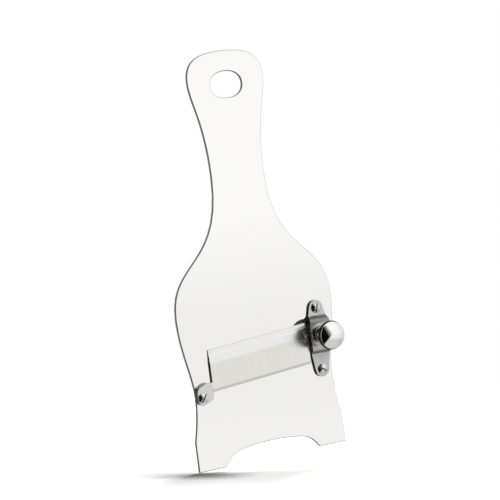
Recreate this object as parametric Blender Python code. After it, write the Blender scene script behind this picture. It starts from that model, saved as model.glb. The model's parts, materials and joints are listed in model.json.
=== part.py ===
# Truffle slicer: a polished steel plate with a blade across it, held by a clamp on the
# left and raised or lowered on the right by a knob on a small bridge.
# Every length is in metres. Seen from the front, x runs to the right, y runs up the
# handle from the feet, and z comes out of the front face towards the viewer.
import math

import bmesh
import bpy
from mathutils import Matrix, Vector

# Clearances and cuts
SEAT = 0.0002            # between two flat pieces that lie on each other
HOLE_PLAY = 0.00015      # all round a screw in its hole
TURN_PLAY = 0.0003       # all round the turning spindle
OVERRUN = 0.002          # how far a cutter runs past what it cuts

# Plate: the half widths and the heights of its wide and narrow places
PLATE_LEN = 0.190
PLATE_THICK = 0.0015
SHOULDER_HALF = 0.0412
SHOULDER_UP = 0.0710
WAIST_CUT = 0.0047       # how much narrower each side is at the waist than at the shoulder
WAIST_UP = 0.0340
FOOT_CUT = 0.0018        # and at the feet
FOOT_UP = 0.0130
NECK_HALF = 0.01385
NECK_DROP = 0.0572       # from the top of the handle down to its narrowest place
HEAD_HALF = 0.01995
HEAD_DROP = 0.0129       # and down to the widest place of its end
PLATE_EDGE = 0.0002      # broken edge all round the plate

# How far the curve stays upright at the lower and upper end of each stretch
WAIST_SHARES = (0.12, 0.50)
SHOULDER_SHARES = (0.30, 0.42)
NECK_SHARES = (0.44, 0.67)
HEAD_SHARES = (0.60, 0.22)
CROWN_SHARES = (0.86, 0.55)

# Arch between the two feet
ARCH_HALF = 0.0249
ARCH_RISE = 0.0078
ARCH_LEAN = 0.0045       # how far each foot's inner side leans in
ARCH_CROWN = 0.0021      # from the arch's hips up to its top
ARCH_BLEND = 0.0040      # the round at each hip starts this far from it

# Oval hanging hole
HANG_DROP = 0.0157       # from the top of the handle to the middle of the hole
HANG_HALF_W = 0.0081
HANG_HALF_H = 0.0061
HANG_POWER = 2.25        # 2 is an ellipse, more is squarer

# Blade: its cutting edge faces the handle and rises to the right
BLADE_TURN = math.radians(4.5)
BLADE_WIDTH = 0.0194
BLADE_THICK = 0.0010
EDGE_THICK = 0.0002
BEVEL_WIDTH = 0.0065
BACK_CHAMFER = 0.0013
BACK_DROP = 0.0005
EDGE_STEP = 0.00126      # from the tongue's upper side up to the line of the cutting edge
TONGUE_GAP = 0.0008      # from the tongue, which passes under the bridge, to its slopes
TONGUE_ROUND = 0.0015
TONGUE_SHORT = 0.0010    # the tongue ends this far inside the bridge's right side

# Slot in the plate under the blade, for the slices
SLOT_BEHIND = 0.00005    # its front edge hides this far behind the cutting edge
SLOT_WIDTH = 0.0087
SLOT_ROUND = 0.0015
SLOT_INSET = 0.0030      # from the blade's ends

# Slotted screws, tapped into the plate
SCREW_R = 0.0015
SCREW_HEAD_R = 0.0024
SCREW_HEAD_TALL = 0.0010
SCREW_HEAD_CROWN = 0.0003
SCREW_SLOT_WIDE = 0.0006
SCREW_SLOT_DEEP = 0.0005

# Spindle and the bridge that carries it
SPINDLE_INSET = 0.0054   # from the side of the waist in to the spindle
SPINDLE_RISE = 0.0187    # from the waist up to the spindle
SPINDLE_R = 0.0020
BRIDGE_THICK = 0.0010
BRIDGE_TURN = math.radians(-0.9)
BRIDGE_UPPER_FLAT = 0.0011  # from the upper slope's foot to the head of its screw
BRIDGE_LOWER_FLAT = 0.0050  # and from the lower slope's foot
BRIDGE_END_R = 0.0037
BRIDGE_HALF = 0.0055
BRIDGE_CORNER = 0.0015
BRIDGE_TOP_HALF = 0.0064
BRIDGE_RUN = 0.0027      # length of each slope, seen from the front
BRIDGE_RISE = 0.0023
BRIDGE_EDGE = 0.00015
BRIDGE_SIDE_GAP = 0.0005    # from the blade's wide part to the bridge

# Clamp tab that holds the blade's left end
CLAMP_INSET = 0.0028     # from the side of the waist in to the clamp's screw
CLAMP_DROP = 0.0016      # from the blade's back corner down to the clamp's screw
CLAMP_THICK = 0.0010
CLAMP_LEFT = 0.0027      # from the screw to the tab's left side
CLAMP_LOW = 0.0034       # from the screw to the tab's lowest point
CLAMP_WIDE = 0.0082
CLAMP_SIDE = 0.0086      # height of the tab's left and right sides
CLAMP_SKEW = 0.0013      # how far the right side sits above the left
CLAMP_ROUND = 0.0026
CLAMP_SIDE_GAP = 0.0007  # from the tab's right side to the blade's left end
LUG_INSET = 0.0004       # the blade's lug is this much smaller than the tab all round

# Knob, turned from one bar
WASHER_R = 0.0052
WASHER_THICK = 0.0005
HUB_R = 0.0042
HUB_TALL = 0.0010
RING_R = 0.00475
RING_TALL = 0.0042
RING_EDGE = 0.0003
NECK_R = 0.0030
NECK_TALL = 0.0010
HEAD_R = 0.0068
HEAD_FLARE = 0.0019
HEAD_RIM = 0.0008
HEAD_DOME = 0.0027
BORE_DEPTH = 0.0064

# Threaded insert in the blade's tongue
INSERT_R = 0.0028
INSERT_FLANGE_R = 0.0035
INSERT_FLANGE = 0.0008
INSERT_ROOM = 0.0007     # all round the flange in the plate's hole

# Facets
ROUND_STEPS = 40
SMALL_STEPS = 24
CURVE_STEPS = 14
HIP_SHARE = 0.6          # a handle of a hip's curve, as a share of the way to its corner
FILLET_STEPS = 6
SLOPE_STEPS = 8
DOME_STEPS = 7

WAIST_HALF = SHOULDER_HALF - WAIST_CUT
FOOT_HALF = SHOULDER_HALF - FOOT_CUT
NECK_UP = PLATE_LEN - NECK_DROP
HEAD_UP = PLATE_LEN - HEAD_DROP
HANG_UP = PLATE_LEN - HANG_DROP
ARCH_HIP_HALF = ARCH_HALF - ARCH_LEAN
SPINDLE_X = WAIST_HALF - SPINDLE_INSET
SPINDLE_UP = WAIST_UP + SPINDLE_RISE
CLAMP_X = CLAMP_INSET - WAIST_HALF
BRIDGE_TOP = SEAT + BRIDGE_THICK + BRIDGE_RISE
BRIDGE_FOOT = BRIDGE_TOP_HALF + BRIDGE_RUN
BRIDGE_UPPER = BRIDGE_FOOT + BRIDGE_UPPER_FLAT + SCREW_HEAD_R
BRIDGE_LOWER = BRIDGE_FOOT + BRIDGE_LOWER_FLAT + SCREW_HEAD_R
TONGUE_HALF = BRIDGE_TOP_HALF - TONGUE_GAP
EDGE_SLOPE = math.tan(BLADE_TURN)
BLADE_LEFT = CLAMP_X - CLAMP_LEFT + CLAMP_WIDE + CLAMP_SIDE_GAP
BLADE_RIGHT = SPINDLE_X - BRIDGE_HALF - BRIDGE_SIDE_GAP


def edge_up(x):
    """Height of the blade's cutting edge at x."""
    return SPINDLE_UP + TONGUE_HALF + EDGE_STEP + (x - SPINDLE_X) * EDGE_SLOPE


def behind_edge(x, back):
    """A point at x, the distance back behind the cutting edge."""
    return x, edge_up(x) - back / math.cos(BLADE_TURN)


CLAMP_UP = behind_edge(BLADE_LEFT, BLADE_WIDTH)[1] - CLAMP_DROP


def arc(centre, radius, start, end, steps):
    """Points on an arc from one angle to another."""
    turn = (end - start) / steps
    return [(centre[0] + radius * math.cos(start + turn * i),
             centre[1] + radius * math.sin(start + turn * i)) for i in range(steps + 1)]


def circle(centre, radius, steps):
    """A closed ring of points."""
    return arc(centre, radius, 0, 2 * math.pi, steps)[:-1]


def bezier(a, b, c, d, steps):
    """Points on a cubic curve, without its last one."""
    points = []
    for i in range(steps):
        t = i / steps
        s = 1 - t
        points.append(tuple(s**3 * p + 3 * s * s * t * q + 3 * s * t * t * r + t**3 * u
                            for p, q, r, u in zip(a, b, c, d)))
    return points


def upright(low, high, shares):
    """A side curve that is upright at both of its ends."""
    tall = high[1] - low[1]
    return bezier(low, (low[0], low[1] + tall * shares[0]),
                  (high[0], high[1] - tall * shares[1]), high, CURVE_STEPS)


def wrap(discs):
    """The band round a ring of discs (x, y, radius), listed against the clock."""
    normals = []
    for (ax, ay, ar), (bx, by, br) in zip(discs, discs[1:] + discs[:1]):
        reach = math.hypot(bx - ax, by - ay)
        lean = math.asin((ar - br) / reach)
        normals.append(math.atan2(by - ay, bx - ax) - math.pi / 2 + lean)
    points = []
    for i, (x, y, radius) in enumerate(discs):
        start = normals[i - 1]
        sweep = (normals[i] - start) % (2 * math.pi)
        points += arc((x, y), radius, start, start + sweep, FILLET_STEPS)
    return points


def sheet(outline, holes, thick):
    """A flat sheet from z = 0 to its thickness, with holes through it."""
    bm = bmesh.new()
    edges = []
    for ring in [outline, *holes]:
        verts = [bm.verts.new((x, y, 0)) for x, y in ring]
        edges += [bm.edges.new(pair) for pair in zip(verts, verts[1:] + verts[:1])]
    bmesh.ops.triangle_fill(bm, use_beauty=True, edges=edges)
    grown = bmesh.ops.extrude_face_region(bm, geom=bm.faces[:])["geom"]
    top = [v for v in grown if isinstance(v, bmesh.types.BMVert)]
    bmesh.ops.translate(bm, vec=(0, 0, thick), verts=top)
    bmesh.ops.recalc_face_normals(bm, faces=bm.faces[:])
    return bm


def turned(profile, steps, closed=False):
    """A piece turned about z from (radius, z) points."""
    bm = bmesh.new()
    verts = [bm.verts.new((r, 0, z)) for r, z in profile]
    ends = verts[1:] + verts[:1] if closed else verts[1:]
    edges = [bm.edges.new(pair) for pair in zip(verts, ends)]
    bmesh.ops.spin(bm, geom=verts + edges, cent=(0, 0, 0), axis=(0, 0, 1),
                   angle=2 * math.pi, steps=steps, use_merge=True)
    bmesh.ops.remove_doubles(bm, verts=bm.verts[:], dist=SEAT / 100)
    bmesh.ops.recalc_face_normals(bm, faces=bm.faces[:])
    return bm


def add_piece(name, bm, material, place=(0, 0, 0), turn=0, edge=0):
    """Make a named object from a mesh, put it on the plate and break its edges."""
    mesh = bpy.data.meshes.new(name)
    bm.to_mesh(mesh)
    bm.free()
    mesh.shade_smooth()
    mesh.set_sharp_from_angle(angle=math.radians(30))
    mesh.materials.append(material)
    piece = bpy.data.objects.new(name, mesh)
    bpy.context.collection.objects.link(piece)
    piece.parent = front
    piece.location = Vector(place) - Vector((0, HANG_UP, 0))
    piece.rotation_euler = (0, 0, turn)
    if edge:
        bevel = piece.modifiers.new("broken edge", "BEVEL")
        bevel.width = edge
        bevel.segments = 1
        bevel.limit_method = "ANGLE"
        bevel.angle_limit = math.radians(40)
    return piece


def steel(name, colour, roughness):
    """A steel finish."""
    material = bpy.data.materials.new(name)
    material.use_nodes = True
    shader = material.node_tree.nodes["Principled BSDF"]
    shader.inputs["Base Color"].default_value = (*colour, 1)
    shader.inputs["Metallic"].default_value = 1
    shader.inputs["Roughness"].default_value = roughness
    return material


for old in list(bpy.data.objects):
    bpy.data.objects.remove(old, do_unlink=True)

# The empty stands in the middle of the hanging hole, half way through the plate
front = bpy.data.objects.new("front", None)
bpy.context.collection.objects.link(front)
front.rotation_euler = (math.pi / 2, 0, 0)
front.location = (0, -PLATE_THICK / 2, 0)

POLISHED = steel("polished steel", (0.86, 0.86, 0.85), 0.06)
GROUND = steel("ground steel", (0.66, 0.64, 0.60), 0.32)
BRUSHED = steel("brushed steel", (0.50, 0.50, 0.49), 0.38)
BRIGHT = steel("bright steel", (0.72, 0.72, 0.71), 0.16)


# Plate
side = [(FOOT_HALF, 0)]
side += upright((FOOT_HALF, FOOT_UP), (WAIST_HALF, WAIST_UP), WAIST_SHARES)
side += upright((WAIST_HALF, WAIST_UP), (SHOULDER_HALF, SHOULDER_UP), SHOULDER_SHARES)
side += upright((SHOULDER_HALF, SHOULDER_UP), (NECK_HALF, NECK_UP), NECK_SHARES)
side += upright((NECK_HALF, NECK_UP), (HEAD_HALF, HEAD_UP), HEAD_SHARES)
side += bezier((HEAD_HALF, HEAD_UP),
               (HEAD_HALF, HEAD_UP + (PLATE_LEN - HEAD_UP) * CROWN_SHARES[0]),
               (HEAD_HALF * CROWN_SHARES[1], PLATE_LEN), (0, PLATE_LEN), CURVE_STEPS)

# The arch's crown is the circle through its two hips and its top
crown_r = (ARCH_HIP_HALF**2 + ARCH_CROWN**2) / (2 * ARCH_CROWN)
crown_mid = (0, ARCH_RISE - crown_r)
hip_angle = math.asin(ARCH_HIP_HALF / crown_r)
blend_angle = math.pi / 2 - hip_angle + ARCH_BLEND / crown_r
crown = arc(crown_mid, crown_r, math.pi / 2, blend_angle, CURVE_STEPS)
crown_end = Vector(crown[-1])
hip = Vector((ARCH_HIP_HALF, ARCH_RISE - ARCH_CROWN))
side_top = hip + (Vector((ARCH_HALF, 0)) - hip).normalized() * ARCH_BLEND
arch = crown[:-1] + bezier(crown_end, crown_end.lerp(hip, HIP_SHARE), side_top.lerp(hip, HIP_SHARE),
                           side_top, FILLET_STEPS)
arch += [tuple(side_top), (ARCH_HALF, 0)]

right_side = arch[1:] + side
left_side = [(-x, y) for x, y in reversed(right_side)]
plate_outline = right_side + [(0, PLATE_LEN)] + left_side + [arch[0]]


def oval(angle):
    """A point on the hanging hole."""
    x, y = math.cos(angle), math.sin(angle)
    return (HANG_HALF_W * math.copysign(abs(x) ** (2 / HANG_POWER), x),
            HANG_UP + HANG_HALF_H * math.copysign(abs(y) ** (2 / HANG_POWER), y))


hang_hole = [oval(2 * math.pi * i / ROUND_STEPS) for i in range(ROUND_STEPS)]

slot_front = SLOT_BEHIND + SLOT_ROUND
slot_back = SLOT_BEHIND + SLOT_WIDTH - SLOT_ROUND
slot_left = BLADE_LEFT + SLOT_INSET + SLOT_ROUND
slot_right = BLADE_RIGHT - SLOT_INSET - SLOT_ROUND
slot = wrap([(*behind_edge(slot_left, slot_back), SLOT_ROUND),
             (*behind_edge(slot_right, slot_back), SLOT_ROUND),
             (*behind_edge(slot_right, slot_front), SLOT_ROUND),
             (*behind_edge(slot_left, slot_front), SLOT_ROUND)])

spindle_at = Vector((SPINDLE_X, SPINDLE_UP))
bridge_along = Vector((-math.sin(BRIDGE_TURN), math.cos(BRIDGE_TURN)))
screws_at = {"clamp": Vector((CLAMP_X, CLAMP_UP)),
             "bridge_upper": spindle_at + bridge_along * BRIDGE_UPPER,
             "bridge_lower": spindle_at - bridge_along * BRIDGE_LOWER}
screw_hole_r = SCREW_R + HOLE_PLAY
plate_holes = [circle(at, screw_hole_r, SMALL_STEPS) for at in screws_at.values()]
insert_hole = circle(spindle_at, INSERT_FLANGE_R + INSERT_ROOM, ROUND_STEPS)
plate = sheet(plate_outline, [hang_hole, slot, insert_hole, *plate_holes], PLATE_THICK)
add_piece("plate", plate, POLISHED, (0, 0, -PLATE_THICK), edge=PLATE_EDGE)


# Clamp tab, a skewed rounded tab round the screw, and the blade's lug under it
tab_left = CLAMP_X - CLAMP_LEFT + CLAMP_ROUND
tab_right = CLAMP_X - CLAMP_LEFT + CLAMP_WIDE - CLAMP_ROUND
tab_low = CLAMP_UP - CLAMP_LOW + CLAMP_ROUND
tab_high = tab_low + CLAMP_SIDE - 2 * CLAMP_ROUND
tab_corners = [(tab_left, tab_low), (tab_right, tab_low + CLAMP_SKEW),
               (tab_right, tab_high + CLAMP_SKEW), (tab_left, tab_high)]
clamp_hole = circle(screws_at["clamp"], screw_hole_r, SMALL_STEPS)
clamp = sheet(wrap([(*c, CLAMP_ROUND) for c in tab_corners]), [clamp_hole], CLAMP_THICK)
clamp_base = SEAT + BLADE_THICK + SEAT
add_piece("blade_clamp", clamp, BRUSHED, (0, 0, clamp_base), edge=BRIDGE_EDGE)


# Blade, with its lug on the left and its tongue on the right
lug_r = CLAMP_ROUND - LUG_INSET
lean = math.atan2(CLAMP_SKEW, tab_right - tab_left)
lug = arc(tab_corners[3], lug_r, math.pi / 2 + lean, math.pi, FILLET_STEPS)
lug += arc(tab_corners[0], lug_r, math.pi, 3 * math.pi / 2 + lean, FILLET_STEPS)
lug += arc(tab_corners[1], lug_r, 3 * math.pi / 2 + lean, 2 * math.pi, FILLET_STEPS)
lug_top = tab_high + CLAMP_SKEW + lug_r
lug_side = tab_right + lug_r
tongue_end = SPINDLE_X + BRIDGE_HALF - TONGUE_SHORT - TONGUE_ROUND
tongue_corner = TONGUE_HALF - TONGUE_ROUND
tongue = [(BLADE_RIGHT, SPINDLE_UP - TONGUE_HALF)]
tongue += arc((tongue_end, SPINDLE_UP - tongue_corner), TONGUE_ROUND, -math.pi / 2, 0, FILLET_STEPS)
tongue += arc((tongue_end, SPINDLE_UP + tongue_corner), TONGUE_ROUND, 0, math.pi / 2, FILLET_STEPS)
tongue += [(BLADE_RIGHT, SPINDLE_UP + TONGUE_HALF)]
blade_outline = [behind_edge(lug_side, BLADE_WIDTH), behind_edge(BLADE_LEFT, BLADE_WIDTH),
                 behind_edge(BLADE_RIGHT, BLADE_WIDTH), *tongue,
                 behind_edge(BLADE_RIGHT, 0), behind_edge(BLADE_LEFT, 0),
                 (BLADE_LEFT, lug_top), (tab_right, lug_top), *lug]
insert_seat = circle(spindle_at, INSERT_R + HOLE_PLAY, SMALL_STEPS)
blade = sheet(blade_outline, [clamp_hole, insert_seat], BLADE_THICK)


# The long bevel runs down to the thin cutting edge, and the back edge has a chamfer
for back in (BEVEL_WIDTH, BLADE_WIDTH - BACK_CHAMFER):
    bmesh.ops.bisect_plane(blade, geom=blade.verts[:] + blade.edges[:] + blade.faces[:],
                           plane_co=(*behind_edge(BLADE_LEFT, back), 0),
                           plane_no=(-EDGE_SLOPE, 1, 0), dist=SEAT / 100)
for vert in blade.verts:
    if vert.co.z < BLADE_THICK / 2:
        continue
    back = (edge_up(vert.co.x) - vert.co.y) * math.cos(BLADE_TURN)
    vert.co.z = EDGE_THICK + (BLADE_THICK - EDGE_THICK) * min(back / BEVEL_WIDTH, 1)
    if abs(back - BLADE_WIDTH) < SEAT / 2 and vert.co.x > BLADE_LEFT - SEAT:
        vert.co.z -= BACK_DROP
# The blade bends at its clamp, so its origin is on the line of the clamp's screw
bmesh.ops.translate(blade, vec=(-CLAMP_X, -CLAMP_UP, 0), verts=blade.verts[:])
add_piece("blade", blade, GROUND, (CLAMP_X, CLAMP_UP, SEAT))


# Bridge, a flat strip whose middle is raised over the blade's tongue
def bridge_line(along):
    """Height and slope of the strip's middle at a distance from the spindle."""
    share = min(max((BRIDGE_FOOT - abs(along)) / BRIDGE_RUN, 0), 1)
    height = BRIDGE_RISE * (1 - math.cos(math.pi * share)) / 2
    slope = math.pi * BRIDGE_RISE / (2 * BRIDGE_RUN) * math.sin(math.pi * share)
    return height, math.atan(math.copysign(slope, -along))


corner_x = BRIDGE_HALF - BRIDGE_CORNER
corner_y = BRIDGE_TOP_HALF - BRIDGE_CORNER
bridge_outline = wrap([(0, -BRIDGE_LOWER, BRIDGE_END_R), (corner_x, -corner_y, BRIDGE_CORNER),
                       (corner_x, corner_y, BRIDGE_CORNER), (0, BRIDGE_UPPER, BRIDGE_END_R),
                       (-corner_x, corner_y, BRIDGE_CORNER), (-corner_x, -corner_y, BRIDGE_CORNER)])
bridge_holes = [circle((0, 0), SPINDLE_R + TURN_PLAY, SMALL_STEPS),
                circle((0, BRIDGE_UPPER), screw_hole_r, SMALL_STEPS),
                circle((0, -BRIDGE_LOWER), screw_hole_r, SMALL_STEPS)]
bridge = sheet(bridge_outline, bridge_holes, BRIDGE_THICK)
for way in (-1, 1):
    for i in range(SLOPE_STEPS + 1):
        station = way * (BRIDGE_TOP_HALF + BRIDGE_RUN * i / SLOPE_STEPS)
        bmesh.ops.bisect_plane(bridge, geom=bridge.verts[:] + bridge.edges[:] + bridge.faces[:],
                               plane_co=(0, station, 0), plane_no=(0, 1, 0), dist=SEAT / 100)
for vert in bridge.verts:
    height, slope = bridge_line(vert.co.y)
    off_middle = vert.co.z - BRIDGE_THICK / 2
    vert.co.y -= off_middle * math.sin(slope)
    vert.co.z = BRIDGE_THICK / 2 + height + off_middle * math.cos(slope)
bmesh.ops.recalc_face_normals(bridge, faces=bridge.faces[:])
add_piece("bridge", bridge, BRUSHED, (SPINDLE_X, SPINDLE_UP, SEAT), BRIDGE_TURN, BRIDGE_EDGE)


# Slotted screws, whose ends are just inside the plate's back
slot_turns = {"clamp": math.radians(62), "bridge_upper": math.radians(86),
              "bridge_lower": math.radians(-22)}
clamp_top = clamp_base + CLAMP_THICK + SEAT
end_top = SEAT + BRIDGE_THICK + SEAT
seats = {"clamp": clamp_top, "bridge_upper": end_top, "bridge_lower": end_top}
tail_end = SEAT - PLATE_THICK
head_side = SCREW_HEAD_TALL - SCREW_HEAD_CROWN
for name, at in screws_at.items():
    under = seats[name]
    screw = turned([(0, tail_end - under), (SCREW_R, tail_end - under), (SCREW_R, 0),
                    (SCREW_HEAD_R, 0), (SCREW_HEAD_R, head_side),
                    (SCREW_HEAD_R - SCREW_HEAD_CROWN, SCREW_HEAD_TALL), (0, SCREW_HEAD_TALL)],
                   SMALL_STEPS)
    screw = add_piece(name + "_screw", screw, BRIGHT, (*at, under), slot_turns[name])
    bm = bmesh.new()
    bmesh.ops.create_cube(bm, size=1, matrix=Matrix.Diagonal(
        (2 * (SCREW_HEAD_R + OVERRUN), SCREW_SLOT_WIDE, 2 * SCREW_SLOT_DEEP, 1)))
    cutter = add_piece(name + "_slot_cutter", bm, BRIGHT, (*at, under + SCREW_HEAD_TALL),
                       slot_turns[name])
    cutter.hide_render = True
    cutter.display_type = "WIRE"
    cut = screw.modifiers.new("driver slot", "BOOLEAN")
    cut.object = cutter
    cut.solver = "EXACT"


# Knob, spindle, washer and the threaded insert, all on the spindle's axis
washer_low = BRIDGE_TOP + SEAT
knob_low = washer_low + WASHER_THICK + SEAT
bore_r = SPINDLE_R + HOLE_PLAY
ring_low = HUB_TALL
ring_high = HUB_TALL + RING_TALL
flare_low = ring_high + NECK_TALL
rim_low = flare_low + HEAD_FLARE
rim_high = rim_low + HEAD_RIM
dome_r = (HEAD_R**2 + HEAD_DOME**2) / (2 * HEAD_DOME)
dome_angle = math.asin(HEAD_R / dome_r)
dome = [(dome_r * math.sin(dome_angle * i / DOME_STEPS),
         rim_high + HEAD_DOME - dome_r * (1 - math.cos(dome_angle * i / DOME_STEPS)))
        for i in range(DOME_STEPS, -1, -1)]
knob = turned([(0, BORE_DEPTH), (bore_r, BORE_DEPTH), (bore_r, 0), (HUB_R, 0),
               (HUB_R, ring_low), (RING_R, ring_low), (RING_R, ring_high - RING_EDGE),
               (RING_R - RING_EDGE, ring_high), (NECK_R, ring_high), (NECK_R, flare_low),
               (HEAD_R, rim_low), *dome], ROUND_STEPS)
add_piece("knob", knob, POLISHED, (SPINDLE_X, SPINDLE_UP, knob_low))

spindle_tall = knob_low + BORE_DEPTH - SEAT - tail_end
spindle = turned([(0, 0), (SPINDLE_R, 0), (SPINDLE_R, spindle_tall), (0, spindle_tall)],
                 SMALL_STEPS)
add_piece("spindle", spindle, BRIGHT, (SPINDLE_X, SPINDLE_UP, tail_end))

play_r = SPINDLE_R + TURN_PLAY
washer = turned([(play_r, 0), (WASHER_R, 0), (WASHER_R, WASHER_THICK), (play_r, WASHER_THICK)],
                ROUND_STEPS, closed=True)
add_piece("knob_washer", washer, BRIGHT, (SPINDLE_X, SPINDLE_UP, washer_low))

insert_top = SEAT + BLADE_THICK + INSERT_FLANGE
insert = turned([(play_r, 0), (INSERT_FLANGE_R, 0), (INSERT_FLANGE_R, INSERT_FLANGE),
                 (INSERT_R, INSERT_FLANGE), (INSERT_R, insert_top), (play_r, insert_top)],
                SMALL_STEPS, closed=True)
add_piece("blade_insert", insert, BRIGHT, (SPINDLE_X, SPINDLE_UP, -INSERT_FLANGE))
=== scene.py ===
import json
import math

import bpy
from mathutils import Matrix, Vector


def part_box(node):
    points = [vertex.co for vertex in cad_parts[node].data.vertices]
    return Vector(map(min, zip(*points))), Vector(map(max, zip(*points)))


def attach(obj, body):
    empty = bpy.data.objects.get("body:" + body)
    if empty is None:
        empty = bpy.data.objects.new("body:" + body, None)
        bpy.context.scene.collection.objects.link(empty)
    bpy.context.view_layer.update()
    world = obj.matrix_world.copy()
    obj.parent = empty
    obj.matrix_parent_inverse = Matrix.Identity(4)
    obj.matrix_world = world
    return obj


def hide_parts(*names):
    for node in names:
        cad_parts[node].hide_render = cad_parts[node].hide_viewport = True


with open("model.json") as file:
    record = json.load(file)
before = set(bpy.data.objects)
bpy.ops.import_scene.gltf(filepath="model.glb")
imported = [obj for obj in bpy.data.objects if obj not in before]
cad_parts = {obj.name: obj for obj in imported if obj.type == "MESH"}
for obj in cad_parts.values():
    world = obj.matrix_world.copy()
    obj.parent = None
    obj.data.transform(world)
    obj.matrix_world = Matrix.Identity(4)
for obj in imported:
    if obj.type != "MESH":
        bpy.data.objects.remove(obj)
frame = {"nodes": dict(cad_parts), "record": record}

FRONT = Vector((0, -1, 0))
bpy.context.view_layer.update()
bpy.ops.object.select_all(action="DESELECT")


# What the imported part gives

BODY_OF = {node: body for body, nodes in frame["record"]["behaviour"]["bodies"].items()
           for node in nodes}
plate_low, plate_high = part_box("plate")
knob_low, knob_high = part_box("knob")
spindle_low, spindle_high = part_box("spindle")
AXIS = (spindle_low + spindle_high) / 2
SPINDLE_R = (spindle_high.x - spindle_low.x) / 2


# Meshes

MERGE = 0.00001             # points closer than this are one point
NO_RADIUS = MERGE / 10      # stands for a radius of nothing
DEBURRED = 0.00014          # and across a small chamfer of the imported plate
FLAT = math.radians(0.1)    # faces closer to one plane than this are one face
SHARP = math.radians(38)    # a steeper fold than this stays a crisp edge
GROUND_FOLD = math.radians(4)   # and on the ground blade, this
ROUNDED = math.radians(25)  # and steeper folds than this are rounded
ROUND_SIDES = 96
SPINDLE_SIDES = 48
SCREW_SIDES = 64

PLATE_ROUND = 0.00045       # widths of the rounded edges
BLADE_ROUND = 0.00003
STRIP_ROUND = 0.00010
TAB_ROUND = 0.00016
KNOB_ROUND = 0.00006


# Places on the sheets

BLADE_TURN = math.radians(4.5)
EDGE_AHEAD = 0.00686        # from the spindle up to the line of the cutting edge
EDGE_X = AXIS.x
EDGE_Z = AXIS.z + EDGE_AHEAD
LIP_NEAR = 0.0002           # behind the edge, its thin line of painted shade fades from here
LIP_FAR = 0.0007            # to here
BEVEL_BACK = 0.0065         # and the bevel ends here
BEVEL_BLUR = 0.0009         # within this
SLOT_HALF = 0.028           # the slot lies between these sides
SLOT_WIDTH = 0.0087
SLOT_ROOM = 0.0006
BEND_NEAR = 0.0056          # the bridge's slopes run from here to there, off the spindle
BEND_FAR = 0.0092
BEND_BEFORE = 0.0006        # their painted shade comes and goes from so far before these lines
BEND_PAST = 0.0004          # to so far past them
BEND_MIDDLE = 0.002         # and changes from low to high within this of the spindle
BEND_LOW = 0.10             # its strength on the lower slope
BEND_HIGH = 0.62            # and on the upper slope


# Colours, the darker one first where there are two

# Painted shade on the edges, and a lighter painted colour where they face the light
EDGE_SHADE = (0.22, 0.22, 0.215)
LIT_EDGE = (0.55, 0.55, 0.54)
LIGHT_ABOVE = 0.7           # what facing up counts to the light, and facing right is 1
LIT_SPAN = (0.1, 0.6)       # an edge goes from the first colour to the second between these
# painted shade on the strip's and the tab's edges, dark on every side
STRIP_EDGE_SHADE = (0.06, 0.06, 0.06)
# painted shade on the bridge's slopes
BEND_SHADE = (0.13, 0.13, 0.125)
POLISHED = ((0.958, 0.951, 0.926), (0.975, 0.970, 0.948))
GROUND_BODY = ((0.80, 0.775, 0.725), (0.97, 0.945, 0.895))
HONED = ((0.85, 0.845, 0.83), (0.95, 0.945, 0.93))
STRIP_FACE = ((0.44, 0.44, 0.43), (0.76, 0.76, 0.745))
TAB_FACE = ((0.66, 0.66, 0.645), (0.84, 0.84, 0.825))
KNOB_BRIGHT = ((0.90, 0.90, 0.89), (0.99, 0.99, 0.98))
# near black, painted as shade on the knob's foot and neck
KNOB_SHADE = ((0.03, 0.03, 0.03), (0.09, 0.09, 0.088))
SCREW_FACE = ((0.68, 0.68, 0.67), (0.86, 0.86, 0.85))
# a darker colour painted in the screws' slots as shade
SCREW_SLOT_SHADE = ((0.14, 0.14, 0.13), (0.26, 0.25, 0.24))
TURNED_FACE = ((0.72, 0.72, 0.71), (0.90, 0.90, 0.89))


# Marks in the metal: how many there are in a metre, along each way that they are given

SMEARS = (40, 40, 22)
WIPES = (2600, 900, 60)
GRAIN = (5200, 400, 90)
BANDS = (260, 20, 25)
LINES = (4200, 1500, 160)
CLOUDS = (300, 300, 300)
PITS = (1500, 1500, 1500)
FINE_CLOUDS = (500, 500, 500)
TOOL_RINGS = (5200, 5200)
KNOB_RINGS = (6200, 6200)
MARK_DEEP = 0.00002
KNOB_MARK_DEEP = 0.00001


# Shader maths

class Wire:
    """An output of a node tree, which sums and products can be written with."""

    def __init__(self, tree, socket):
        self.tree = tree
        self.socket = socket

    def math(self, operation, *values):
        """Add a Math node on some values or wires."""
        sockets = dict(enumerate(values))
        return self.tree.node("Math", {"operation": operation}, sockets)

    def __add__(self, other):
        return self.math("ADD", self, other)

    def __sub__(self, other):
        return self.math("SUBTRACT", self, other)

    def __rsub__(self, other):
        return self.math("SUBTRACT", other, self)

    def __mul__(self, other):
        return self.math("MULTIPLY", self, other)

    def __truediv__(self, other):
        return self.math("DIVIDE", self, other)

    def __pow__(self, other):
        return self.math("POWER", self, other)

    def __abs__(self):
        return self.math("ABSOLUTE", self)

    __radd__ = __add__
    __rmul__ = __mul__


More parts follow.
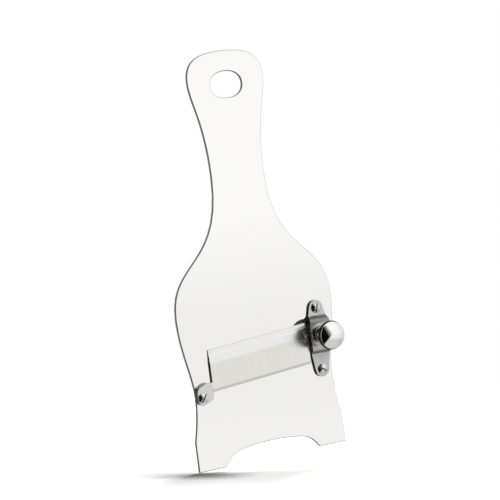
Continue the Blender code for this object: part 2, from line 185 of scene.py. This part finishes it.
class Tree:
    """The nodes of a material or of the world."""

    def __init__(self, holder):
        holder.use_nodes = True
        self.inner = holder.node_tree

    def node(self, kind, settings=None, sockets=None, output=0):
        """Add a node, make its settings, then fill its sockets with values or wires."""
        made = self.inner.nodes.new("ShaderNode" + kind)
        for name, value in (settings or {}).items():
            setattr(made, name, value)
        for name, value in (sockets or {}).items():
            self.fill(made.inputs[name], value)
        return Wire(self, made.outputs[output])

    def fill(self, socket, value):
        """Link a wire to a socket, or set its value."""
        if isinstance(value, Wire):
            self.inner.links.new(value.socket, socket)
        elif isinstance(value, tuple) and len(value) == 3 and socket.type == "RGBA":
            socket.default_value = (*value, 1)
        else:
            socket.default_value = value

    def paint(self, name, value):
        """Fill a socket of the material's shader."""
        self.fill(self.shader.inputs[name], value)

    def place(self, kind="Object"):
        """The x, y and z of a point of the piece, or of its Normal, or of a way to the sky."""
        point = self.node("TexCoord", output=kind)
        return [self.node("SeparateXYZ", {}, {0: point}, axis) for axis in "XYZ"]

    def noise(self, place, per_metre, detail=2, roughness=0.5):
        """Cloudy noise from 0 to 1 at a place, so many clouds in a metre each way."""
        ways = [way * count for way, count in zip(place, per_metre)]
        point = self.node("CombineXYZ", {}, dict(zip("XYZ", ways)))
        return self.node("TexNoise", {}, {"Vector": point, "Scale": 1, "Detail": detail,
                                          "Roughness": roughness})

    def span(self, value, low, high, from_low=0.0, from_high=1.0, smooth=False):
        """A value moved from one span to another, and kept inside it."""
        kind = "SMOOTHSTEP" if smooth else "LINEAR"
        return self.node("MapRange", {"interpolation_type": kind, "clamp": True},
                         {"Value": value, "From Min": from_low, "From Max": from_high,
                          "To Min": low, "To Max": high})

    def blend(self, share, first, second):
        """A colour between two."""
        return self.node("Mix", {"data_type": "RGBA"}, {"Factor": share, 6: first, 7: second},
                         output=2)

    def bump(self, strength, height, deep=MARK_DEEP):
        """Let a height stand out of the surface."""
        made = self.node("Bump", {}, {"Strength": strength, "Distance": deep, "Height": height})
        self.paint("Normal", made)


def material(name):
    """An empty metal, its nodes and its shader."""
    made = bpy.data.materials.new(name)
    tree = Tree(made)
    tree.shader = tree.inner.nodes["Principled BSDF"]
    tree.paint("Metallic", 1)
    return made, tree


def paint_edge_shade(tree, colour, low, high, edge=EDGE_SHADE, lit=LIT_EDGE):
    """Paint shade on a sheet's edges, and paint them lighter where they face up or right, to the
    light.
    A point is all edge where its normal's Y is under low, and all face where it is over high."""
    x, y, z = tree.place("Normal")
    to_light = x + z * LIGHT_ABOVE
    edge = tree.blend(tree.span(to_light, 0, 1, *LIT_SPAN), edge, lit)
    return tree.blend(tree.span(abs(y), 0, 1, low, high), edge, colour)


def behind_edge(x, z):
    """How far a point of the plate's front lies behind the line of the cutting edge."""
    return (EDGE_Z + (x - EDGE_X) * math.tan(BLADE_TURN) - z) * math.cos(BLADE_TURN)


# Finishes

def mirror_polish():
    """Mirror-polished sheet, with faint wiping marks up and down and a few cloudy smears."""
    made, tree = material("mirror polish")
    place = tree.place()
    smears = tree.noise(place, SMEARS)
    wiped = tree.noise(place, WIPES)
    tree.paint("Base Color", paint_edge_shade(tree, tree.blend(smears, *POLISHED), 0.87, 0.99))
    tree.paint("Roughness", tree.span(smears + wiped * 0.5, 0.02, 0.06, 0.5, 1.1))
    tree.bump(0.02, wiped)
    return made


def ground_blade():
    """Surface-ground steel: grain across the blade, and a finer, cooler bevel."""
    made, tree = material("ground blade")
    x, y, z = tree.place()
    behind = behind_edge(x, z)
    across = x * math.cos(BLADE_TURN) + z * math.sin(BLADE_TURN)
    grain = tree.noise((across, y, behind), GRAIN, detail=4, roughness=0.7)
    bands = tree.noise((across, y, behind), BANDS)
    bevel = tree.span(behind, 1, 0, BEVEL_BACK - BEVEL_BLUR, BEVEL_BACK + BEVEL_BLUR, smooth=True)
    body = tree.blend(grain * 0.6 + bands * 0.4, *GROUND_BODY)
    # a thin line of shade painted along the cutting edge
    lip_shade = tree.span(behind, 0.90, 1, LIP_NEAR, LIP_FAR, smooth=True)
    face = tree.blend(lip_shade, EDGE_SHADE, tree.blend(bevel, body, tree.blend(grain, *HONED)))
    tree.paint("Base Color", paint_edge_shade(tree, face, 0.2, 0.5))
    tree.paint("Roughness", tree.span(grain, 0.16, 0.25) - bevel * 0.02)
    tree.paint("Anisotropic", 0.8)
    tree.bump(0.08, grain)
    return made


def brushed_clip(name, face):
    """Satin sheet, brushed along its length, with small pits, and shade painted on its bends."""
    made, tree = material(name)
    x, y, z = tree.place()
    lines = tree.noise((x, y, z), LINES, detail=4, roughness=0.65)
    cloud = tree.noise((x, y, z), CLOUDS, detail=3)
    pits = tree.noise((x, y, z), PITS, roughness=0.6)
    body = tree.blend(tree.span(lines * 0.4 + cloud * 0.2 + pits * 0.4, 0, 1, 0.3, 0.7), *face)
    above = z - AXIS.z
    off = abs(above)
    # shade painted on the slopes, stronger on the upper one
    bend_shade = (tree.span(off, 0, 1, BEND_NEAR - BEND_BEFORE, BEND_NEAR + BEND_PAST, smooth=True)
            * tree.span(off, 1, 0, BEND_FAR - BEND_BEFORE, BEND_FAR + BEND_PAST, smooth=True))
    strength = tree.span(above, BEND_LOW, BEND_HIGH, -BEND_MIDDLE, BEND_MIDDLE)
    body = tree.blend(bend_shade * strength, body, BEND_SHADE)
    tree.paint("Base Color", paint_edge_shade(tree, body, 0.35, 0.85, STRIP_EDGE_SHADE, STRIP_EDGE_SHADE))
    tree.paint("Roughness", tree.span(cloud, 0.24, 0.36))
    tree.bump(0.3, lines)
    return made


def turned_marks(tree, centre, per_metre):
    """The tool's fine rings round an axis, fine clouds, and the height along the axis."""
    x, y, z = tree.place()
    aside = x - centre.x
    above = z - centre.z
    out = (aside * aside + above * above) ** 0.5
    rings = tree.noise((out, y), per_metre, detail=3, roughness=0.7)
    return rings, tree.noise((x, y, z), FINE_CLOUDS), y


def turned_steel(name, centre, face, rough):
    """Bright turned steel."""
    made, tree = material(name)
    rings, cloud, y = turned_marks(tree, centre, TOOL_RINGS)
    tree.paint("Base Color", tree.blend(rings * 0.6 + cloud * 0.4, *face))
    tree.paint("Roughness", tree.span(cloud, rough, rough * 1.8))
    tree.bump(0.3, rings)
    return made


# Shaping

def edit(piece):
    """Go into edit mode with all of a piece selected."""
    bpy.context.view_layer.objects.active = piece
    piece.select_set(True)
    bpy.ops.object.mode_set(mode="EDIT")
    bpy.ops.mesh.select_all(action="SELECT")


def done(piece, angle=SHARP):
    """Leave edit mode, put the place in the mesh and shade the piece."""
    bpy.ops.object.mode_set(mode="OBJECT")
    bpy.ops.object.transform_apply(location=True, rotation=True, scale=True)
    bpy.ops.object.shade_smooth_by_angle(angle=angle)
    bpy.ops.object.select_all(action="DESELECT")


def modify(piece, kind, **settings):
    """Add a modifier and apply it at once."""
    bpy.context.view_layer.objects.active = piece
    made = piece.modifiers.new(kind.title(), kind)
    for name, value in settings.items():
        setattr(made, name, value)
    bpy.ops.object.modifier_apply(modifier=made.name)


def soften(piece, width, segments, method="ANGLE"):
    """Round the sharp edges and keep the flats flat."""
    modify(piece, "BEVEL", width=width, segments=segments, limit_method=method,
           angle_limit=ROUNDED, harden_normals=True, loop_slide=False, use_clamp_overlap=False)


def leave_slot_crisp(piece):
    """Mark the edges to be rounded: all sharp ones but the slot's, which the blade hides."""
    edit(piece)
    bpy.ops.mesh.select_mode(type="EDGE")
    bpy.ops.mesh.select_all(action="DESELECT")
    bpy.ops.mesh.edges_select_sharp(sharpness=ROUNDED)
    bpy.ops.object.mode_set(mode="OBJECT")
    points = piece.data.vertices
    for edge in piece.data.edges:
        x, y, z = (points[edge.vertices[0]].co + points[edge.vertices[1]].co) / 2
        if abs(x) < SLOT_HALF and -SLOT_ROOM < behind_edge(x, z) < SLOT_WIDTH + SLOT_ROOM:
            edge.select = False
    bpy.ops.object.mode_set(mode="EDIT")
    bpy.ops.transform.edge_bevelweight(value=1)
    bpy.ops.mesh.select_mode(type="VERT")
    bpy.ops.object.mode_set(mode="OBJECT")
    bpy.ops.object.select_all(action="DESELECT")


def flatten_chamfers(piece, node):
    """Lift the outer rims of the small chamfers into the planes of the sheet's faces."""
    low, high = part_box(node)
    for point in piece.data.vertices:
        for level in (low.y, high.y):
            if abs(point.co.y - level) < DEBURRED:
                point.co.y = level


def rounded_sheet(node, name, width, fold=SHARP, slotted=False):
    """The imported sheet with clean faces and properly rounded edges."""
    piece = bpy.data.objects.new(name, frame["nodes"][node].data.copy())
    bpy.context.scene.collection.objects.link(piece)
    piece.data.materials.clear()
    if slotted:
        flatten_chamfers(piece, node)
    edit(piece)
    bpy.ops.mesh.customdata_custom_splitnormals_clear()
    bpy.ops.mesh.remove_doubles(threshold=DEBURRED if slotted else MERGE)
    bpy.ops.mesh.dissolve_limited(angle_limit=FLAT)
    done(piece, fold)
    if slotted:
        leave_slot_crisp(piece)
    soften(piece, width, segments=6, method="WEIGHT" if slotted else "ANGLE")
    return piece


def turned_piece(name, foot, stations, closed=False, sides=ROUND_SIDES):
    """Turn a piece from a circle, ring by ring. A station is (radius, height over the foot)."""
    radius, height = stations[0]
    bpy.ops.mesh.primitive_circle_add(vertices=sides, radius=radius, location=foot + FRONT * height,
                                      fill_type="NOTHING" if closed else "NGON",
                                      rotation=(math.pi / 2, 0, 0))
    piece = bpy.context.object
    piece.name = name
    edit(piece)
    for next_radius, next_height in stations[1:]:
        next_radius = max(next_radius, NO_RADIUS)
        step = FRONT * (next_height - height)
        bpy.ops.mesh.extrude_region_move(TRANSFORM_OT_translate={"value": step})
        grow = next_radius / radius
        bpy.ops.transform.resize(value=(grow, 1, grow),
                                 center_override=foot + FRONT * next_height)
        radius, height = next_radius, next_height
    bpy.ops.mesh.select_all(action="SELECT")
    bpy.ops.mesh.remove_doubles(threshold=MERGE)
    bpy.ops.mesh.normals_make_consistent(inside=False)
    done(piece)
    return piece


def ease(low, high, steps):
    """Points of a quarter round from one (radius, height) to another, radius first."""
    points = []
    for i in range(1, steps + 1):
        turn = math.pi / 2 * i / steps
        points.append((low[0] + (high[0] - low[0]) * math.sin(turn),
                       low[1] + (high[1] - low[1]) * (1 - math.cos(turn))))
    return points


def dome(side, low, top, steps):
    """Points of a ball's cap, from a radius and height up to the top on the axis."""
    cap = top - low
    ball = (side**2 + cap**2) / (2 * cap)
    spread = math.asin(side / ball)
    points = []
    for i in range(1, steps + 1):
        angle = spread * (1 - i / steps)
        points.append((ball * math.sin(angle), top - ball * (1 - math.cos(angle))))
    return points


def stand_for(piece, node):
    """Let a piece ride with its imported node's body and stand for the node."""
    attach(piece, BODY_OF[node])
    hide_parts(node)


def dress(piece, node, finish):
    """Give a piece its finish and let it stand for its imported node."""
    piece.data.materials.clear()
    piece.data.materials.append(finish)
    stand_for(piece, node)


# Sheets

POLISH = mirror_polish()
GROUND = ground_blade()
BRUSHED = brushed_clip("brushed strip", STRIP_FACE)
SATIN = brushed_clip("satin tab", TAB_FACE)
dress(rounded_sheet("plate", "plate_sheet", PLATE_ROUND, slotted=True),
      "plate", POLISH)
dress(rounded_sheet("blade", "blade_sheet", BLADE_ROUND, GROUND_FOLD),
      "blade", GROUND)
dress(rounded_sheet("bridge", "bridge_strip", STRIP_ROUND), "bridge", BRUSHED)
dress(rounded_sheet("blade_clamp", "clamp_tab", TAB_ROUND), "blade_clamp", SATIN)


# Knob, in shares of its head's radius and of its height

FOOT_AND_RING = ((0.60, 0), (0.618, 0.012), (0.618, 0.070), (0.600, 0.086), (0.660, 0.092),
                 (0.685, 0.115), (0.699, 0.170), (0.699, 0.230), (0.690, 0.300), (0.668, 0.360),
                 (0.632, 0.410), (0.580, 0.440), (0.50, 0.448), (0.45, 0.480), (0.45, 0.530))
UNDERSIDE = (0.950, 0.660)
UNDERSIDE_STEPS = 6
FLANGE_AND_STEP = ((0.985, 0.670), (1, 0.690), (1, 0.715), (0.988, 0.732), (0.948, 0.737),
                   (0.940, 0.742), (0.934, 0.830), (0.922, 0.840))
DOME_STEPS = 24
FOOT_TOP = (0.087, 0.091)       # heights between which the foot's painted shade ends the neck's painted shade and roughness begin
NECK_BOTTOM = (0.441, 0.447)    # the dull neck begins
NECK_TOP = (0.826, 0.832)       # and ends


def knob_head():
    """Foot, ring, neck and a head with a thin flange, a step and a low dome."""
    tall = knob_high.y - knob_low.y
    head = (knob_high.x - knob_low.x) / 2
    foot = Vector((AXIS.x, knob_high.y, AXIS.z))
    stations = [(out * head, up * tall) for out, up in FOOT_AND_RING]
    stations += ease(stations[-1], (UNDERSIDE[0] * head, UNDERSIDE[1] * tall), UNDERSIDE_STEPS)
    stations += [(out * head, up * tall) for out, up in FLANGE_AND_STEP]
    stations += dome(*stations[-1], tall, DOME_STEPS)
    piece = turned_piece("knob_head", foot, stations)
    soften(piece, KNOB_ROUND, segments=2)
    return piece


def turned_knob():
    """Polished head and ring, foot and neck painted near black as shade, a rougher neck, and the
    tool's rings on the dome.
    """
    made, tree = material("turned knob")
    rings, cloud, y = turned_marks(tree, AXIS, KNOB_RINGS)
    up = (knob_high.y - y) / (knob_high.y - knob_low.y)
    neck = tree.span(up, 0, 1, *NECK_BOTTOM) * tree.span(up, 1, 0, *NECK_TOP)
    low = tree.span(up, 1, 0, *FOOT_TOP)
    bright = tree.blend(rings * 0.6 + cloud * 0.4, *KNOB_BRIGHT)
    # the foot and the neck are painted near black as shade
    tree.paint("Base Color", tree.blend(neck + low, bright, tree.blend(rings, *KNOB_SHADE)))
    tree.paint("Roughness", tree.span(cloud, 0.035, 0.07) + neck * 0.2)
    tree.bump(0.25, rings, KNOB_MARK_DEEP)
    return made


dress(knob_head(), "knob", turned_knob())


# Screws

HEAD_TALL = 0.001
HEAD_EDGE = 0.00022         # height of the head's upright edge
HEAD_STEPS = 8
SHANK_R = 0.0015
HEAD_SLOT_DEEP = 0.0007
HEAD_SLOT_WIDE = 0.0007
# the slots' faces are painted darker as shade
SHADED = turned_steel("shaded slot", AXIS, SCREW_SLOT_SHADE, 0.3)


def screw(node, turn):
    """A slotted screw with a low domed head."""
    low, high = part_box(node)
    centre = (low + high) / 2
    head = (high.x - low.x) / 2
    tall = high.y - low.y
    under = tall - HEAD_TALL
    foot = Vector((centre.x, high.y, centre.z))
    stations = [(SHANK_R * 0.8, 0), (SHANK_R, SHANK_R * 0.2), (SHANK_R, under), (head, under),
                (head, under + HEAD_EDGE)]
    stations += dome(*stations[-1], tall, HEAD_STEPS)
    piece = turned_piece(node + "_domed", foot, stations, sides=SCREW_SIDES)
    finish = turned_steel(node.replace("_", " ") + " steel", centre, SCREW_FACE, 0.12)
    piece.data.materials.append(finish)
    bpy.ops.mesh.primitive_cube_add(size=1, location=foot + FRONT * tall, rotation=(0, -turn, 0))
    cutter = bpy.context.object
    cutter.scale = (3 * head, 2 * HEAD_SLOT_DEEP, HEAD_SLOT_WIDE)
    cutter.data.materials.append(SHADED)
    modify(piece, "BOOLEAN", object=cutter, operation="DIFFERENCE", solver="EXACT",
           material_mode="TRANSFER")
    bpy.data.objects.remove(cutter)
    bpy.ops.object.select_all(action="DESELECT")
    piece.select_set(True)
    bpy.ops.object.shade_smooth_by_angle(angle=SHARP)
    bpy.ops.object.select_all(action="DESELECT")
    stand_for(piece, node)


screw("clamp_screw", math.radians(54))
screw("bridge_upper_screw", math.radians(75))
screw("bridge_lower_screw", math.radians(-31))


# Washer, spindle and insert

BRIGHT = turned_steel("bright turned steel", AXIS, TURNED_FACE, 0.10)
PLAY = 0.0003               # between the spindle and a ring round it
BREAK = 0.0001              # the turner's broken edges
THREAD = 0.0007             # pitch
THREAD_DEEP = 0.0003
INSERT_FLANGE = 0.0008      # thickness of the insert's flange
INSERT_R = 0.0028           # and the radius of its body


def ring(node, name, steps):
    """A turned ring round the spindle. A step is (radius, height), from the back outwards."""
    low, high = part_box(node)
    foot = Vector((AXIS.x, high.y, AXIS.z))
    bore = SPINDLE_R + PLAY
    tall = high.y - low.y
    stations = [(bore + BREAK, 0), *steps, (bore + BREAK, tall), (bore, tall - BREAK),
                (bore, BREAK), (bore + BREAK, 0)]
    dress(turned_piece(name, foot, stations, closed=True), node, BRIGHT)


def flat_washer():
    """The thin washer between the bridge and the knob."""
    low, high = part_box("knob_washer")
    wide = (high.x - low.x) / 2
    tall = high.y - low.y
    ring("knob_washer", "flat_washer", [(wide - BREAK, 0), (wide, BREAK), (wide, tall - BREAK),
                                        (wide - BREAK, tall)])


def threaded_insert():
    """The insert in the blade's tongue, with its flange at the back."""
    low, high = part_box("blade_insert")
    wide = (high.x - low.x) / 2
    tall = high.y - low.y
    ring("blade_insert", "threaded_insert",
         [(wide - BREAK, 0), (wide, BREAK), (wide, INSERT_FLANGE - BREAK),
          (wide - BREAK, INSERT_FLANGE), (INSERT_R, INSERT_FLANGE), (INSERT_R, tall - BREAK),
          (INSERT_R - BREAK, tall)])


def threaded_rod():
    """The spindle, with its thread as fine grooves and a chamfer at each end."""
    tall = spindle_high.y - spindle_low.y
    foot = Vector((AXIS.x, spindle_high.y, AXIS.z))
    root = SPINDLE_R - THREAD_DEEP
    stations = [(root, 0), (SPINDLE_R, THREAD_DEEP)]
    turns = int((tall - 2 * THREAD_DEEP) / THREAD)
    for i in range(turns):
        low = THREAD_DEEP + i * THREAD
        stations += [(SPINDLE_R, low + THREAD * 0.15), (root, low + THREAD * 0.5),
                     (SPINDLE_R, low + THREAD * 0.85)]
    stations += [(SPINDLE_R, tall - THREAD_DEEP), (root, tall)]
    piece = turned_piece("threaded_rod", foot, stations, sides=SPINDLE_SIDES)
    dress(piece, "spindle", BRIGHT)


flat_washer()
threaded_insert()
threaded_rod()


# Camera, from the plate's middle: turned to the left of it, and rolled

VIEW_YAW = math.radians(28.18)
VIEW_PITCH = math.radians(-0.167)
VIEW_ROLL = math.radians(8.308)
VIEW_ASIDE = 0.000796
VIEW_ABOVE = 0.002235
VIEW_AWAY = 0.92475
VIEW_LENS = 144             # in millimetres, as is the sensor
VIEW_SENSOR = 36

bpy.context.scene.view_settings.view_transform = "Standard"


def turn_of(angle, axis):
    """A turn about one of the axes."""
    return Matrix.Rotation(angle, 4, axis)


def set_camera():
    """The camera stands to the left of the plate's front and looks at its middle."""
    middle = Vector((0, plate_low.y, (plate_low.z + plate_high.z) / 2))
    turn = (turn_of(math.pi / 2, "X") @ turn_of(-VIEW_ROLL, "Z") @ turn_of(-VIEW_PITCH, "X")
            @ turn_of(-VIEW_YAW, "Y"))
    camera = bpy.data.objects.new("camera", bpy.data.cameras.new("camera"))
    bpy.context.scene.collection.objects.link(camera)
    camera.matrix_world = Matrix.Translation(middle) @ turn @ Matrix.Translation(
        (VIEW_ASIDE, VIEW_ABOVE, VIEW_AWAY))
    camera.data.lens = VIEW_LENS
    camera.data.sensor_width = VIEW_SENSOR
    camera.data.clip_start = VIEW_AWAY / 100
    camera.data.clip_end = VIEW_AWAY * 100
    bpy.context.scene.camera = camera
    return turn


VIEW = set_camera()


# Floor

FOOT_CORNER_X = -0.0394     # the left foot's outer corner
FLOOR_TILT = math.radians(1)
FLOOR_SIDE = 0.9
FLOOR_GAP = 0.0001
FLOOR_COLOUR = (0.86, 0.85, 0.82)
SHADOW_HEART = (0.0050, -0.0067)   # on the floor, from the foot's corner: right and away
PAINTED_SHADOW_CORE = (0.100, 0.0266, 0.0206)     # the painted shadow's dark core reaches this far left, right and in depth
PAINTED_SHADOW_TAIL = (0.0487, 0.250, 0.0565)     # and its faint tail
CORE_GLOW = 0.459           # glow of the floor outside the core
TAIL_GLOW = 0.351           # and what is added outside the tail
GLOW = (1.0, 0.99, 0.97)


def rays(tree, kind):
    """One for the rays of a kind."""
    return tree.node("LightPath", output="Is " + kind + " Ray")


def set_floor():
    """A pale floor under the foot's left corner, level in the view, with its glow left out round
    the foot as a painted shadow.
    """
    up = VIEW @ Vector((0, math.cos(FLOOR_TILT), math.sin(FLOOR_TILT)))
    right = VIEW @ Vector((1, 0, 0))
    foot = Vector((FOOT_CORNER_X, plate_high.y, plate_low.z))
    turn = Matrix((right, up.cross(right), up)).transposed().to_4x4()
    bpy.ops.mesh.primitive_plane_add(size=FLOOR_SIDE)
    floor = bpy.context.object
    floor.name = "floor"
    floor.matrix_world = Matrix.Translation(foot - up * FLOOR_GAP) @ turn
    made, tree = material("pale floor")
    x, y, z = tree.place()
    aside = x - SHADOW_HEART[0]
    away = y - SHADOW_HEART[1]
    # the glow that only the camera sees is left out round the foot: a painted shadow over the soft
    # boxes' real one
    glow = 0
    for (left, right, deep), lift in ((PAINTED_SHADOW_CORE, CORE_GLOW), (PAINTED_SHADOW_TAIL, TAIL_GLOW)):
        along = tree.node("Math", {"operation": "MAXIMUM"}, {0: aside / right, 1: aside / -left})
        far = (along ** 2 + (away / deep) ** 2) ** 0.5
        glow = tree.span(far, 0, lift, smooth=True) + glow
    tree.paint("Metallic", 0)
    tree.paint("Roughness", 0.9)
    tree.paint("Specular IOR Level", 0)
    tree.paint("Base Color", FLOOR_COLOUR)
    tree.paint("Emission Color", tree.blend(rays(tree, "Camera") * glow, (0, 0, 0), GLOW))
    tree.paint("Emission Strength", 1)
    floor.data.materials.append(made)
    floor.visible_glossy = False
    bpy.ops.object.select_all(action="DESELECT")


# Light. A border of the tent is the value before it and after it, and where it starts and ends:
# in degrees to the right of the plate's front, in degrees up, or in Y, which is to the back.

TENT_SHARE = 0.064                  # of the tent's light that falls on matt things
RIM = (0.883, 0.985, -6.2, -2.4)    # up
UNDER_RIM = (1.03, 1, -9, -7.5)
FOOT_OF_TENT = (0.70, 1, -28, -13)
RIGHT_WALL = (1, 0.84, 45, 75)      # to the right
SEAM_START = (0, 1, 0.0, 0.08)      # in Y
SEAM_END = (1, 0.25, 0.40, 0.52)
SEAM_DARK = 0.5
GAP_TIP = 20                        # the side where the tent's dark wedge begins
GAP_END = -66
GAP_SPREAD = 2.6                    # how fast the wedge opens upwards
GAP_OVER = (0, 1, -6, 70)
GAP_UNDER = (0, 1, -2, 9)
GAP_LEFT = (0, 1, GAP_END, GAP_END + 12)
GAP_STEEP = (1, 0, 46, 60)          # up or down
GAP_DARK = 0.94
LAMP_AWAY = 0.9
LAMP_SIDE = 0.22
LAMP_POWER = 4.5
LAMP_WAYS = ((1.25, 1.0, -0.9), (0.4, 1.0, -0.9))   # in the view: right, up and to the camera


def set_world():
    """A light tent, white in front, with a dark wedge where the camera stands."""
    world = bpy.data.worlds.new("light tent")
    bpy.context.scene.world = world
    tree = Tree(world)
    x, y, z = tree.place("Generated")
    side = tree.node("Math", {"operation": "ARCTAN2"}, {0: x, 1: y * -1}) * (180 / math.pi)
    rise = tree.node("Math", {"operation": "ARCSINE"}, {0: z}) * (180 / math.pi)
    reach = GAP_TIP - side
    gap = (tree.span(reach * GAP_SPREAD - rise, *GAP_OVER)
           * tree.span(reach + rise, *GAP_UNDER, smooth=True)
           * tree.span(side, *GAP_LEFT, smooth=True)
           * tree.span(abs(rise), *GAP_STEEP, smooth=True))
    tent = tree.span(rise, *RIM, smooth=True) * tree.span(rise, *UNDER_RIM)
    tent = tent * tree.span(rise, *FOOT_OF_TENT, smooth=True)
    tent = tent * tree.span(side, *RIGHT_WALL, smooth=True)
    seam = tree.span(y, *SEAM_START) * tree.span(y, *SEAM_END)
    tent = tent * (1 - seam * SEAM_DARK) * (1 - gap * GAP_DARK) ** 2
    camera, mirror, glass = [rays(tree, kind) for kind in ("Camera", "Glossy", "Transmission")]
    strength = camera + (1 - camera) * tent * (mirror + glass + (1 - mirror - glass) * TENT_SHARE)
    background = tree.inner.nodes["Background"]
    tree.fill(background.inputs["Color"], (1.0, 1.0, 1.0))
    tree.fill(background.inputs["Strength"], strength)


def set_lamps():
    """Square soft boxes over and behind the slicer, which cast the real part of the shadow under
    its foot.
    """
    for i, way in enumerate(LAMP_WAYS):
        up = (VIEW @ Vector(way)).normalized()
        name = "soft box " + str(i + 1)
        lamp = bpy.data.objects.new(name, bpy.data.lights.new(name, "AREA"))
        bpy.context.scene.collection.objects.link(lamp)
        lamp.data.shape = "SQUARE"
        lamp.data.size = LAMP_SIDE
        lamp.data.energy = LAMP_POWER
        lamp.location = Vector((FOOT_CORNER_X, 0, plate_low.z)) + up * LAMP_AWAY
        lamp.rotation_euler = up.to_track_quat("Z", "Y").to_euler()
        lamp.visible_glossy = False


set_floor()
set_world()
set_lamps()
